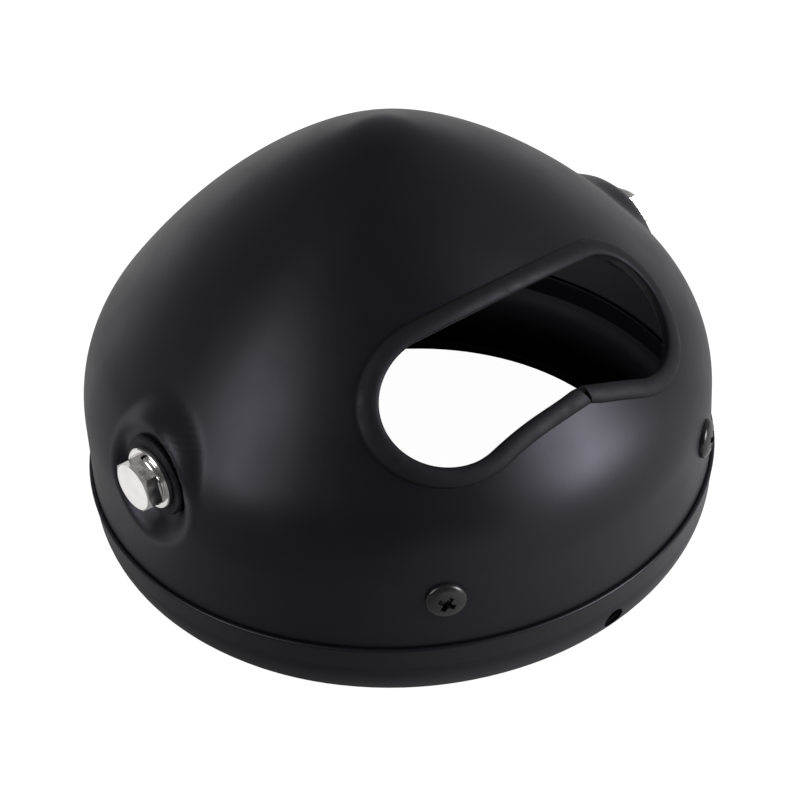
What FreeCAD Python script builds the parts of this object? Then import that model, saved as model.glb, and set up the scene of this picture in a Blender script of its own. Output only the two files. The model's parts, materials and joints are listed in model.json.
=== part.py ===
import FreeCAD, Part
import math
import os
import Sketcher

# Headlight bucket for a motorbike: a pressed steel dome with a trim ring round its open mouth.
# Millimetres. The mouth rests on Z = 0, +Z runs up the dome's axis, the side bolts lie along X
# and the cable opening looks towards -Y.

DRIVING_SIZES = [
    # trim ring
    ("ring_radius", 83.7, "outer radius at the ring's top edge"),
    ("ring_taper", 0.85, "how much the band narrows from its top edge to the bend"),
    ("ring_bend", 15.6, "radius of the quarter-round that leads in to the lip"),
    ("ring_height", 22.4, "top edge above the resting plane"),
    ("ring_wall", 0.9, "sheet of the trim ring"),
    ("lip_flat", 0.55, "flat rim under the lip, which the part rests on"),
    ("ring_edge_round", 0.65, "rounding of the top edge's outer side"),
    ("lip_height", 3.0, "turned-in wall round the lens opening"),
    ("ring_hole_radius", 3.0, "hole for the ring's clamp screw"),
    ("ring_hole_height", 11.0, "centre of that hole above the resting plane"),
    # shell
    ("sheet", 1.2, "sheet of the shell"),
    ("skirt_fit", 0.15, "clearance of the skirt inside the ring"),
    ("skirt_lift", 0.5, "skirt's lower edge above the ring's bend"),
    ("seam_fit", 0.2, "clearance of the wall inside the ring's top edge"),
    ("step_drop", 1.0, "step from the wall in to the skirt, below the ring's top edge"),
    ("step_round", 0.5, "rounding of that step's outer edge"),
    ("wall_height", 19.1, "ring's top edge to the start of the shoulder"),
    ("shoulder_radius", 37.0, "profile arc from the wall into the flank"),
    ("flank_radius", 187.6, "profile arc of the long flank"),
    ("tip_radius", 20.0, "rounded nose"),
    ("dome_rise", 79.4, "shoulder level to the nose"),
    # mounting bosses
    ("bolt_rise", 12.4, "bolt axis above the shoulder level"),
    ("boss_inset", 5.6, "boss face in from the wall"),
    ("boss_radius", 15.0, "boss at its face"),
    ("boss_round", 2.5, "rounding of the boss's edge"),
    ("boss_draft", 20.0, "slope of the boss's flank, in degrees"),
    ("dish_draft", 28.0, "slope of the dish below the boss, in degrees"),
    # cable opening
    ("opening_tilt", 45.0, "plane of the opening above the horizontal, in degrees"),
    ("opening_drop", 16.8, "where the opening's middle plane meets the axis, under the shoulder level"),
    ("opening_end", 17.85, "radius of the opening's round ends"),
    ("opening_spread", 27.0, "centre of each end from the mid-plane"),
    ("opening_bump", 3.8, "rise of the lower edge at its middle"),
    ("opening_turn", 2.6, "turn of the opening in its own plane, right end down, in degrees"),
    # rubber edge trim
    ("trim_web", 1.8, "rubber inside the cut edge"),
    ("trim_flange", 3.0, "reach of the rubber over the sheet"),
    ("trim_skin", 1.5, "rubber over each face of the sheet"),
    ("trim_fit", 0.05, "clearance between rubber and sheet"),
    ("trim_round", 1.2, "rounding of the trim's inner rim"),
    ("trim_lip_round", 0.7, "rounding of the trim's outer edges"),
    ("trim_joint_gap", 0.5, "gap where the trim's ends meet"),
    ("trim_joint_spread", 0.9, "how much wider that gap is at the inner rim"),
    ("trim_joint_side", 4.2, "that gap from the mid-plane"),
    # side bolts and their washers
    ("bolt_radius", 4.0, "bolt shank"),
    ("bolt_clearance", 0.3, "play between the shank and what it passes through"),
    ("bolt_length", 18.0, "shank under the head"),
    ("bolt_flats", 13.0, "hexagon across its flats"),
    ("bolt_head", 3.7, "height of the hexagon head"),
    ("bolt_turn_left", 12.0, "turn of the left head's corner from upright, in degrees"),
    ("bolt_turn_right", 22.0, "turn of the right head's corner from upright, in degrees"),
    ("bolt_tip", 1.0, "chamfer at the shank's end"),
    ("thread_fit", 0.05, "play of a shank in its nut"),
    ("rubber_radius", 10.9, "rubber washer"),
    ("rubber_thick", 1.8, "rubber washer"),
    ("washer_radius", 8.3, "flat washer"),
    ("washer_thick", 1.5, "flat washer"),
    ("lock_radius", 6.9, "split lock washer"),
    ("lock_thick", 1.1, "split lock washer"),
    ("lock_split", 0.9, "gap in the lock washer"),
    ("lock_slant", 30.0, "slant of that gap, in degrees"),
    ("washer_edge", 0.25, "broken edge of the metal washers"),
    ("rubber_edge", 0.5, "broken edge of the rubber washers"),
    ("weld_nut_height", 6.5, "nut welded behind the boss"),
    # cross-head screws
    ("screw_angle", 32.4, "each screw from the opening's mid-plane, in degrees"),
    ("screw_rise", 14.9, "screw axis above the ring's top edge"),
    ("screw_head_radius", 5.15, "screw head"),
    ("screw_head_edge", 1.2, "straight edge of the head"),
    ("screw_head_crown", 1.0, "rise of the domed head over its edge"),
    ("screw_radius", 2.5, "screw shank"),
    ("screw_clearance", 0.2, "play between the shank and what it passes through"),
    ("screw_length", 11.0, "shank under the head"),
    ("recess_width", 4.6, "cross recess from tip to tip"),
    ("recess_slot", 1.45, "width of each arm of the cross"),
    ("recess_depth", 1.7, "depth of the cross below the crown"),
    ("recess_turn", 22.0, "turn of the cross, in degrees"),
    ("screw_nut_flats", 8.0, "hexagon across its flats"),
    ("screw_nut_height", 4.0, "nut inside the wall"),
]

# spare length by which cutters run past what they cut
OVERCUT = 5.0
SIDES = (("left", -1), ("right", 1))
# end face of a hexagon's 30 degree chamfer, as a share of its flats, and the chamfer's spread
HEX_CROWN = 0.475
HEX_CHAMFER_SPREAD = math.sqrt(3.0)
Z_AXIS = FreeCAD.Vector(0, 0, 1)
X_AXIS = FreeCAD.Vector(1, 0, 0)
# distance within which two radii or two points count as the same
TOUCH = 0.001

doc = FreeCAD.newDocument("headlight_bucket")
sheet = doc.addObject("Spreadsheet::Sheet", "Sizes")
for row, (alias, number, note) in enumerate(DRIVING_SIZES, start=1):
    sheet.set(f"A{row}", note)
    sheet.set(f"B{row}", str(number))
    sheet.setAlias(f"B{row}", alias)
doc.recompute()


class Size:
    """A size of the sheet, or a sum worked out from such sizes: its number and its expression."""

    def __init__(self, number, text):
        self.number = float(number)
        self.text = text

    def __add__(self, other):
        other = as_size(other)
        return Size(self.number + other.number, f"({self.text} + {other.text})")

    def __sub__(self, other):
        other = as_size(other)
        return Size(self.number - other.number, f"({self.text} - {other.text})")

    def __mul__(self, other):
        other = as_size(other)
        return Size(self.number * other.number, f"({self.text} * {other.text})")

    def __truediv__(self, other):
        other = as_size(other)
        return Size(self.number / other.number, f"({self.text} / {other.text})")

    def __neg__(self):
        return Size(-self.number, f"(0 - {self.text})")


def as_size(value):
    return value if isinstance(value, Size) else Size(value, repr(float(value)))


def size(alias):
    return Size(sheet.get(alias), f"Sizes.{alias}")


def cosine(angle):
    return Size(math.cos(math.radians(angle.number)), f"cos({angle.text})")


def tangent(angle):
    return Size(math.tan(math.radians(angle.number)), f"tan({angle.text})")


def root(square):
    return Size(math.sqrt(square.number), f"sqrt({square.text})")


# Levels and radii that several pieces share
band_radius = size("ring_radius") - size("ring_taper")
bend_centre = band_radius - size("ring_bend")
lip_radius = bend_centre - size("lip_flat")
skirt_radius = band_radius - size("ring_wall") - size("skirt_fit")
skirt_bottom = size("ring_bend") + size("skirt_lift")
wall_radius = size("ring_radius") - size("ring_wall") - size("seam_fit")
step_level = size("ring_height") - size("step_drop")
shoulder_level = size("ring_height") + size("wall_height")
nose_level = shoulder_level + size("dome_rise")
bolt_level = shoulder_level + size("bolt_rise")
screw_level = size("ring_height") + size("screw_rise")
bolt_hole_radius = size("bolt_radius") + size("bolt_clearance")
screw_hole_radius = size("screw_radius") + size("screw_clearance")
boss_face = wall_radius - size("boss_inset")
washer_face = boss_face + size("rubber_thick")
lock_face = washer_face + size("washer_thick")
head_face = lock_face + size("lock_thick")


def bind(item, **properties):
    """Ties an object's properties to sizes; two underscores stand for the dot of a nested one."""
    for name, value in properties.items():
        item.setExpression(name.replace("__", "."), as_size(value).text)
    return item


class Outline:
    """A sketch drawn from lines and arcs, with its dimensions tied to the sheet."""

    def __init__(self, sketch):
        self.sketch = sketch

    def line(self, start, end):
        return self.sketch.addGeometry(Part.LineSegment(flat(start), flat(end)))

    def arc(self, centre, radius, start, end):
        circle = Part.Circle(flat(centre), Z_AXIS, radius)
        return self.sketch.addGeometry(Part.ArcOfCircle(circle, start, end))

    def rule(self, kind, *where):
        self.sketch.addConstraint(Sketcher.Constraint(kind, *where))

    def measure(self, kind, *where, length):
        length = as_size(length)
        index = self.sketch.addConstraint(Sketcher.Constraint(kind, *where, length.number))
        self.sketch.setExpression(f"Constraints[{index}]", length.text)

    def place(self, geometry, end, across, along):
        """Holds one end of a line or arc at a point of the sketch."""
        self.measure("DistanceX", geometry, end, length=across)
        self.measure("DistanceY", geometry, end, length=along)

    def polygon(self, corners):
        """A closed outline of straight lines through corners given as pairs of sizes."""
        points = [(as_size(across), as_size(along)) for across, along in corners]
        plain = [(across.number, along.number) for across, along in points]
        edges = [self.line(a, b) for a, b in zip(plain, plain[1:] + plain[:1])]
        for edge, following in zip(edges, edges[1:] + edges[:1]):
            self.rule("Coincident", edge, 2, following, 1)
        for edge, (across, along) in zip(edges, points):
            self.place(edge, 1, across, along)
        return edges


def flat(point):
    return FreeCAD.Vector(point[0], point[1], 0)


def polar(centre, radius, angle):
    return (centre[0] + radius * math.cos(angle), centre[1] + radius * math.sin(angle))


def new_body(name, plane):
    """A body with an empty sketch on one of its own origin planes."""
    body = doc.addObject("PartDesign::Body", name)
    sketch = body.newObject("Sketcher::SketchObject", f"{name}_outline")
    origin = next(item for item in body.Origin.OriginFeatures if item.Role == plane)
    sketch.AttachmentSupport = [(origin, "")]
    sketch.MapMode = "FlatFace"
    return body, Outline(sketch)


def revolve(body, outline, axis):
    doc.recompute()
    feature = body.newObject("PartDesign::Revolution", f"{body.Name}_turned")
    feature.Profile = outline.sketch
    feature.ReferenceAxis = (outline.sketch, [axis])
    feature.Angle = 360.0
    doc.recompute()
    return body


def cut(name, base, tool):
    item = doc.addObject("Part::Cut", name)
    item.Base = base
    item.Tool = tool
    return item


def fuse(name, *shapes):
    item = doc.addObject("Part::MultiFuse", name)
    item.Shapes = list(shapes)
    return item


def common(name, *shapes):
    item = doc.addObject("Part::MultiCommon", name)
    item.Shapes = list(shapes)
    return item


def cylinder(name, radius, height):
    return bind(doc.addObject("Part::Cylinder", name), Radius=radius, Height=height)


def cone(name, radius, end_radius, height):
    return bind(doc.addObject("Part::Cone", name), Radius1=radius, Radius2=end_radius, Height=height)


def box(name, length, width, height):
    return bind(doc.addObject("Part::Box", name), Length=length, Width=width, Height=height)


def hexagon(name, flats, height):
    item = doc.addObject("Part::Prism", name)
    item.Polygon = 6
    return bind(item, Circumradius=flats / math.sqrt(3.0), Height=height)


def dome_arcs(inset):
    """Centres and joining angles of the shoulder, flank and nose arcs, inset from the outer skin."""
    shoulder = size("shoulder_radius").number - inset
    flank = size("flank_radius").number - inset
    tip = size("tip_radius").number - inset
    shoulder_centre = (wall_radius.number - inset - shoulder, shoulder_level.number)
    tip_centre = (0.0, nose_level.number - inset - tip)
    reach = (shoulder_centre[0] - tip_centre[0], shoulder_centre[1] - tip_centre[1])
    span = math.hypot(*reach)
    offset = flank - shoulder
    lean = (offset ** 2 + span ** 2 - (flank - tip) ** 2) / (2 * offset * span)
    shoulder_end = math.atan2(reach[1], reach[0]) + math.acos(lean)
    flank_centre = polar(shoulder_centre, -offset, shoulder_end)
    flank_end = math.atan2(tip_centre[1] - flank_centre[1], tip_centre[0] - flank_centre[0])
    return (shoulder_centre, shoulder), (flank_centre, flank), (tip_centre, tip), shoulder_end, flank_end


def dome_form(name, inset, floor):
    """The solid inside the dome's skin moved inwards by an inset, with its skirt and step."""
    inset = as_size(inset)
    floor = as_size(floor)
    body, outline = new_body(name, "YZ_Plane")
    shoulder, flank, tip, shoulder_end, flank_end = dome_arcs(inset.number)
    skirt = skirt_radius - inset
    wall = wall_radius - inset
    step = step_level + inset
    curve = size("step_round")
    nose = nose_level - inset
    curve_centre = (wall.number - curve.number, step.number + curve.number)
    base = outline.line((0, floor.number), (skirt.number, floor.number))
    skirt_side = outline.line((skirt.number, floor.number), (skirt.number, step.number))
    ledge = outline.line((skirt.number, step.number), (curve_centre[0], step.number))
    ledge_edge = outline.arc(curve_centre, curve.number, -math.pi / 2, 0)
    wall_side = outline.line((wall.number, curve_centre[1]), (wall.number, shoulder_level.number))
    shoulder_arc = outline.arc(*shoulder, 0, shoulder_end)
    flank_arc = outline.arc(*flank, shoulder_end, flank_end)
    tip_arc = outline.arc(*tip, flank_end, math.pi / 2)
    axis = outline.line((0, nose.number), (0, floor.number))
    outline.place(base, 1, 0, floor)
    outline.rule("Horizontal", base)
    outline.rule("Coincident", base, 2, skirt_side, 1)
    outline.rule("Vertical", skirt_side)
    outline.rule("Coincident", skirt_side, 2, ledge, 1)
    outline.place(ledge, 1, skirt, step)
    outline.rule("Horizontal", ledge)
    outline.rule("Tangent", ledge, 2, ledge_edge, 1)
    outline.rule("Tangent", ledge_edge, 2, wall_side, 1)
    outline.measure("Radius", ledge_edge, length=curve)
    outline.rule("Vertical", wall_side)
    outline.place(wall_side, 2, wall, shoulder_level)
    outline.rule("Tangent", wall_side, 2, shoulder_arc, 1)
    outline.rule("Tangent", shoulder_arc, 2, flank_arc, 1)
    outline.rule("Tangent", flank_arc, 2, tip_arc, 1)
    outline.measure("Radius", shoulder_arc, length=size("shoulder_radius") - inset)
    outline.measure("Radius", flank_arc, length=size("flank_radius") - inset)
    outline.measure("Radius", tip_arc, length=size("tip_radius") - inset)
    outline.rule("PointOnObject", tip_arc, 3, -2)
    outline.place(tip_arc, 2, 0, nose)
    outline.rule("Coincident", tip_arc, 2, axis, 1)
    outline.rule("Coincident", axis, 2, base, 1)
    return revolve(body, outline, "V_Axis")


def boss_form(name, inset):
    """A spool along the bolts' axis, whose two ends are the bosses' faces with rounded edges."""
    inset = as_size(inset)
    slope = tangent(size("boss_draft"))
    face = boss_face - inset
    rim = size("boss_radius") - inset / cosine(size("boss_draft")) + inset * slope
    # the flank runs far enough inwards to end inside the dome
    depth = size("boss_radius") * 2
    foot = rim + depth * slope
    inner = face - depth
    body, outline = new_body(name, "XZ_Plane")
    outline.polygon([(-face, 0), (face, 0), (face, rim), (inner, foot), (-inner, foot), (-face, rim)])
    revolve(body, outline, "H_Axis")
    spool = body.Tip
    rims = [index for index, edge in enumerate(body.Shape.Edges, start=1)
            if is_circle(edge) and abs(edge.Curve.Radius - rim.number) < TOUCH]
    rounding = body.newObject("PartDesign::Fillet", f"{name}_rounded")
    rounding.Base = (spool, [f"Edge{index}" for index in rims])
    bind(rounding, Radius=size("boss_round") - inset)
    body.Tip = rounding
    bind(body, Placement__Base__z=bolt_level)
    doc.recompute()
    return body


def dish_form(name, inset):
    """Two dished cutters outside the bosses' faces, which sink the faces' lower halves in the wall."""
    inset = as_size(inset)
    slope = tangent(size("dish_draft"))
    face = boss_face - inset
    rim = size("boss_radius") + inset / cosine(size("dish_draft")) - inset * slope
    # the cutter runs out past the wall
    depth = size("boss_inset") + OVERCUT
    end = face + depth
    end_rim = rim + depth * slope
    body, outline = new_body(name, "XZ_Plane")
    for side in (1, -1):
        outline.polygon([(face * side, 0), (end * side, 0), (end * side, end_rim), (face * side, rim)])
    revolve(body, outline, "H_Axis")
    bind(body, Placement__Base__z=bolt_level)
    doc.recompute()
    return body


def is_circle(edge):
    return isinstance(edge.Curve, Part.Circle)


def shell_form(name, inset, floor):
    """The dome with its bosses and dishes, as a full solid."""
    dome = dome_form(f"{name}_dome", inset, floor)
    whole = fuse(f"{name}_whole", dome, boss_form(f"{name}_boss", inset))
    return cut(name, whole, dish_form(f"{name}_dish", inset))


def opening_sketch(name):
    """A sketch of the cable opening's plane, turned in that plane; it is tilted when it is run out."""
    sketch = doc.addObject("Sketcher::SketchObject", name)
    turn = FreeCAD.Rotation(-Z_AXIS, size("opening_turn").number)
    sketch.Placement = FreeCAD.Placement(FreeCAD.Vector(), turn)
    bind(sketch, Placement__Rotation__Angle=size("opening_turn"))
    return Outline(sketch)


def opening_prism(name, grow):
    """The opening's bean-shaped outline, grown all round, run out through the rear of the dome."""
    grow = as_size(grow)
    end = size("opening_end") + grow
    spread = size("opening_spread")
    bump = size("opening_bump") - end
    # the lower edge's arc touches both round ends
    gap = spread * spread + bump * bump - end * end
    radius = gap / ((end + bump) * 2)
    bump_centre = bump - radius
    lean = math.atan2(-bump_centre.number, spread.number)
    outline = opening_sketch(f"{name}_outline")
    right = outline.arc((spread.number, 0), end.number, lean - math.pi, math.pi / 2)
    left = outline.arc((-spread.number, 0), end.number, math.pi / 2, 2 * math.pi - lean)
    top = outline.line((spread.number, end.number), (-spread.number, end.number))
    low = outline.arc((0, bump_centre.number), radius.number, lean, math.pi - lean)
    outline.place(right, 3, spread, 0)
    outline.place(left, 3, -spread, 0)
    outline.measure("Radius", right, length=end)
    outline.rule("Equal", right, left)
    outline.rule("Tangent", right, 2, top, 1)
    outline.rule("Tangent", top, 2, left, 1)
    outline.rule("Tangent", left, 2, low, 2)
    outline.rule("Tangent", low, 1, right, 1)
    outline.measure("Radius", low, length=radius)
    return run_out(name, outline)


def run_out(name, outline):
    """Extrudes an outline of the opening's plane out past the dome."""
    prism = doc.addObject("Part::Extrusion", name)
    prism.Base = outline.sketch
    prism.DirMode = "Normal"
    prism.Solid = True
    tilt = FreeCAD.Rotation(X_AXIS, size("opening_tilt").number)
    prism.Placement = FreeCAD.Placement(FreeCAD.Vector(), tilt)
    bind(prism, LengthFwd=size("ring_radius") + size("dome_rise"))
    bind(prism, Placement__Rotation__Angle=size("opening_tilt"))
    bind(prism, Placement__Base__z=shoulder_level - size("opening_drop"))
    doc.recompute()
    return prism


def bolt_line(name, radius):
    """A rod along the bolts' axis, through both bosses."""
    rod = cylinder(name, radius, (boss_face + OVERCUT) * 2)
    rod.Placement = FreeCAD.Placement(FreeCAD.Vector(), FreeCAD.Rotation(Z_AXIS, X_AXIS))
    return bind(rod, Placement__Base__x=-(boss_face + OVERCUT), Placement__Base__z=bolt_level)


def laid_in_wall(item, station, level, inward=False):
    """Lays a piece built along +Z down at the rear mid-plane, pointing out of the wall or inwards."""
    turn = FreeCAD.Rotation(X_AXIS, -90 if inward else 90)
    item.Placement = FreeCAD.Placement(FreeCAD.Vector(), turn)
    return bind(item, Placement__Base__y=-as_size(station), Placement__Base__z=level)


def swung(item, sign):
    """Swings a piece laid at the rear mid-plane round to one of the two screws' places."""
    turn = FreeCAD.Rotation(Z_AXIS * sign, size("screw_angle").number)
    item.Placement = FreeCAD.Placement(FreeCAD.Vector(), turn)
    return bind(item, Placement__Rotation__Angle=size("screw_angle"))


def screw_bore(name, sign):
    inside = wall_radius - size("sheet") - OVERCUT
    rod = cylinder(f"{name}_rod", screw_hole_radius, size("sheet") + OVERCUT * 2)
    bore = doc.addObject("Part::Compound", name)
    bore.Links = [laid_in_wall(rod, inside, screw_level)]
    return swung(bore, sign)


def bucket_shell():
    skin = cut("shell_skin", shell_form("shell_outer", 0, skirt_bottom),
               shell_form("shell_inner", size("sheet"), skirt_bottom - OVERCUT))
    bores = [screw_bore(f"screw_bore_{side}", sign) for side, sign in SIDES]
    bolt_bore = bolt_line("bolt_bore", bolt_hole_radius)
    openings = fuse("shell_openings", opening_prism("cable_opening", 0), bolt_bore, *bores)
    return cut("bucket_shell", skin, openings)


def trim_ring():
    """The ring's section turned round the axis: lip wall, quarter-round bend and leaning band."""
    body, outline = new_body("ring_form", "XZ_Plane")
    thick = size("ring_wall")
    bend = size("ring_bend")
    curve = size("ring_edge_round")
    inner_bend = bend - thick
    top = size("ring_height")
    rim = size("ring_radius")
    lip_top = size("lip_height")
    inner_lip = lip_radius + thick
    inner_rim = rim - thick
    # the inner curve starts where it meets the turned-in lip wall
    lip_reach = inner_lip - bend_centre
    start_rise = root(inner_bend * inner_bend - lip_reach * lip_reach)
    start_angle = math.atan2(-start_rise.number, lip_reach.number)
    start = (inner_lip.number, bend.number - start_rise.number)
    centre = (bend_centre.number, bend.number)
    edge_centre = (rim.number - curve.number, top.number - curve.number)
    foot = outline.line((lip_radius.number, 0), (centre[0], 0))
    outer_bend = outline.arc(centre, bend.number, -math.pi / 2, 0)
    outer_band = outline.line((band_radius.number, bend.number), (rim.number, edge_centre[1]))
    round_edge = outline.arc(edge_centre, curve.number, 0, math.pi / 2)
    edge = outline.line((edge_centre[0], top.number), (inner_rim.number, top.number))
    inner_band = outline.line((inner_rim.number, top.number), (centre[0] + inner_bend.number, bend.number))
    inner_arc = outline.arc(centre, inner_bend.number, start_angle, 0)
    inner_wall = outline.line(start, (inner_lip.number, lip_top.number))
    lip_edge = outline.line((inner_lip.number, lip_top.number), (lip_radius.number, lip_top.number))
    lip_wall = outline.line((lip_radius.number, lip_top.number), (lip_radius.number, 0))
    corners = [(foot, 2, outer_bend, 1), (outer_bend, 2, outer_band, 1), (edge, 2, inner_band, 1),
               (inner_band, 2, inner_arc, 2), (inner_arc, 1, inner_wall, 1), (inner_wall, 2, lip_edge, 1),
               (lip_edge, 2, lip_wall, 1), (lip_wall, 2, foot, 1)]
    for corner in corners:
        outline.rule("Coincident", *corner)
    outline.place(foot, 1, lip_radius, 0)
    outline.place(outer_bend, 3, bend_centre, bend)
    outline.measure("Radius", outer_bend, length=bend)
    outline.measure("DistanceX", outer_bend, 1, length=bend_centre)
    outline.measure("DistanceY", outer_bend, 2, length=bend)
    outline.place(round_edge, 3, rim - curve, top - curve)
    outline.measure("Radius", round_edge, length=curve)
    outline.rule("Tangent", outer_band, 2, round_edge, 1)
    outline.rule("Tangent", round_edge, 2, edge, 1)
    outline.place(edge, 2, inner_rim, top)
    outline.rule("Coincident", inner_arc, 3, outer_bend, 3)
    outline.measure("Radius", inner_arc, length=inner_bend)
    outline.measure("DistanceY", inner_arc, 2, length=bend)
    outline.rule("Vertical", inner_wall)
    outline.place(lip_edge, 1, inner_lip, lip_top)
    outline.rule("Horizontal", lip_edge)
    outline.rule("Vertical", lip_wall)
    revolve(body, outline, "V_Axis")
    hole = cylinder("ring_hole", size("ring_hole_radius"), size("ring_bend"))
    return cut("trim_ring", body, laid_in_wall(hole, bend_centre, size("ring_hole_height")))


def trim_joint():
    """A gap between the trim's two ends at the middle of its lower edge, wider at the inner rim."""
    low = -(size("opening_end") + size("trim_flange") + OVERCUT)
    high = low + (size("trim_flange") + OVERCUT) * 2 + size("opening_bump")
    side = size("trim_joint_side")
    half = size("trim_joint_gap") / 2
    wide = half + size("trim_joint_spread")
    outline = opening_sketch("trim_joint_outline")
    outline.polygon([(side - half, low), (side + half, low), (side + wide, high), (side - half, high)])
    return run_out("trim_joint", outline)


def trim_rounded(whole, opening):
    """Rounds the trim's inner rim strongly and the edges that lie on the sheet lightly."""
    body = doc.addObject("PartDesign::Body", "trim_rounded")
    body.BaseFeature = whole
    doc.recompute()
    base = body.Tip
    for alias, inner in (("trim_round", True), ("trim_lip_round", False)):
        rims = []
        for index, edge in enumerate(base.Shape.Edges, start=1):
            walls = base.Shape.ancestorsOfType(edge, Part.Face)
            upright = [wall for wall in walls if isinstance(wall.Surface, (Part.Cylinder, Part.Plane))]
            middle = edge.valueAt((edge.FirstParameter + edge.LastParameter) / 2)
            if len(upright) == 1 and opening.Shape.isInside(middle, TOUCH, True) == inner:
                rims.append(f"Edge{index}")
        rounding = body.newObject("PartDesign::Fillet", f"{alias}_fillet")
        rounding.Base = (base, rims)
        bind(rounding, Radius=size(alias))
        body.Tip = rounding
        doc.recompute()
        base = rounding
    return body


def edge_trim():
    """A rubber U-section round the cable opening, following the dome on both faces of the sheet."""
    cover = size("trim_fit") + size("trim_skin")
    floor = skirt_bottom - OVERCUT
    skin = cut("trim_skins", dome_form("trim_outside", -cover, floor),
               dome_form("trim_inside", size("sheet") + cover, floor - OVERCUT))
    band = cut("trim_band", opening_prism("trim_outer_line", size("trim_flange")),
               opening_prism("trim_inner_line", -size("trim_web")))
    rounded = trim_rounded(common("trim_whole", skin, band), doc.getObject("cable_opening"))
    slot_skin = cut("trim_slot_skin", dome_form("trim_slot_outside", -size("trim_fit"), floor),
                    dome_form("trim_slot_inside", size("sheet") + size("trim_fit"), floor - OVERCUT))
    slot = cut("trim_slot", slot_skin, opening_prism("trim_slot_line", -size("trim_fit")))
    return cut("edge_trim", rounded, fuse("trim_cutters", slot, trim_joint()))


def on_bolt_axis(item, sign, start):
    """Lays a piece built along +Z on the bolts' axis, pointing outwards from a given station."""
    item.Placement = FreeCAD.Placement(FreeCAD.Vector(), FreeCAD.Rotation(Z_AXIS, X_AXIS * sign))
    return bind(item, Placement__Base__x=start * sign, Placement__Base__z=bolt_level)


def washer(name, outer, inner, thick, edge):
    """A washer built up from Z = 0, with its outer edges broken."""
    body, outline = new_body(name, "XZ_Plane")
    outline.polygon([(inner, 0), (outer - edge, 0), (outer, edge), (outer, thick - edge),
                     (outer - edge, thick), (inner, thick)])
    return revolve(body, outline, "V_Axis")


def lock_washer(name):
    """A washer with a slanted gap through one side."""
    thick = size("lock_thick")
    reach = size("lock_radius") + OVERCUT
    ring = washer(f"{name}_ring", size("lock_radius"), bolt_hole_radius, thick, size("washer_edge"))
    split = box(f"{name}_split", reach, size("lock_split"), thick * 2 + OVERCUT)
    slant = FreeCAD.Rotation(X_AXIS, size("lock_slant").number)
    split.Placement = FreeCAD.Placement(FreeCAD.Vector(), slant)
    bind(split, Placement__Rotation__Angle=size("lock_slant"))
    bind(split, Placement__Base__y=size("lock_split"), Placement__Base__z=-thick)
    return cut(name, ring, split)


def chamfered_hexagon(name, flats, height):
    """A hexagon prism built up from Z = 0, with its far end's corners chamfered."""
    crown = flats * HEX_CROWN
    tool = cone(f"{name}_crown", crown + height * HEX_CHAMFER_SPREAD, crown, height)
    return common(f"{name}_hexagon", hexagon(f"{name}_prism", flats, height), tool)


def weld_nut(name, sign):
    """A nut welded to the inner face of a boss."""
    height = size("weld_nut_height")
    core = cylinder(f"{name}_core", size("bolt_radius") + size("thread_fit"), height + OVERCUT * 2)
    bind(core, Placement__Base__z=-OVERCUT)
    whole = cut(name, chamfered_hexagon(name, size("bolt_flats"), height), core)
    return on_bolt_axis(whole, -sign, size("sheet") - boss_face)


def mount_bolt(name, turn):
    """A hexagon-head bolt whose head is built up from Z = 0 and whose shank runs down."""
    head = chamfered_hexagon(name, size("bolt_flats"), size("bolt_head"))
    head.Placement = FreeCAD.Placement(FreeCAD.Vector(), FreeCAD.Rotation(Z_AXIS, turn.number))
    bind(head, Placement__Rotation__Angle=turn)
    radius = size("bolt_radius")
    tip = size("bolt_tip")
    shank, outline = new_body(f"{name}_shank", "XZ_Plane")
    end = -size("bolt_length")
    outline.polygon([(0, end), (radius - tip, end), (radius, end + tip), (radius, tip), (0, tip)])
    revolve(shank, outline, "V_Axis")
    return fuse(name, head, shank)


def cross_screw(name, sign):
    """A pan-head screw through the wall, with a cross recess in its domed head."""
    head = size("screw_head_radius")
    edge = size("screw_head_edge")
    crown = size("screw_head_crown")
    top = edge + crown
    dome_radius = (head * head + crown * crown) / (crown * 2)
    dome_centre = top - dome_radius
    dome_start = math.asin((edge - dome_centre).number / dome_radius.number)
    body, outline = new_body(f"{name}_head_form", "XZ_Plane")
    under = outline.line((0, 0), (head.number, 0))
    side = outline.line((head.number, 0), (head.number, edge.number))
    dome = outline.arc((0, dome_centre.number), dome_radius.number, dome_start, math.pi / 2)
    axis = outline.line((0, top.number), (0, 0))
    outline.rule("Coincident", under, 2, side, 1)
    outline.rule("Coincident", side, 2, dome, 1)
    outline.rule("Coincident", dome, 2, axis, 1)
    outline.rule("Coincident", axis, 2, under, 1)
    outline.place(under, 1, 0, 0)
    outline.place(side, 1, head, 0)
    outline.place(side, 2, head, edge)
    outline.place(dome, 2, 0, top)
    outline.rule("PointOnObject", dome, 3, -2)
    revolve(body, outline, "V_Axis")
    width = size("recess_width")
    slot = size("recess_slot")
    arms = []
    for label, length, breadth in (("long", width, slot), ("wide", slot, width)):
        arm = box(f"{name}_{label}_arm", length, breadth, top)
        arms.append(bind(arm, Placement__Base__x=-length / 2, Placement__Base__y=-breadth / 2,
                         Placement__Base__z=top - size("recess_depth")))
    recess = fuse(f"{name}_recess", *arms)
    turn = FreeCAD.Rotation(Z_AXIS, size("recess_turn").number)
    recess.Placement = FreeCAD.Placement(FreeCAD.Vector(), turn)
    bind(recess, Placement__Rotation__Angle=size("recess_turn"))
    whole_head = laid_in_wall(cut(f"{name}_head", body, recess), wall_radius, screw_level)
    shank = cylinder(f"{name}_shank", size("screw_radius"), size("screw_length") + edge / 2)
    laid_in_wall(shank, wall_radius - size("screw_length"), screw_level)
    return swung(fuse(name, whole_head, shank), sign)


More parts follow.
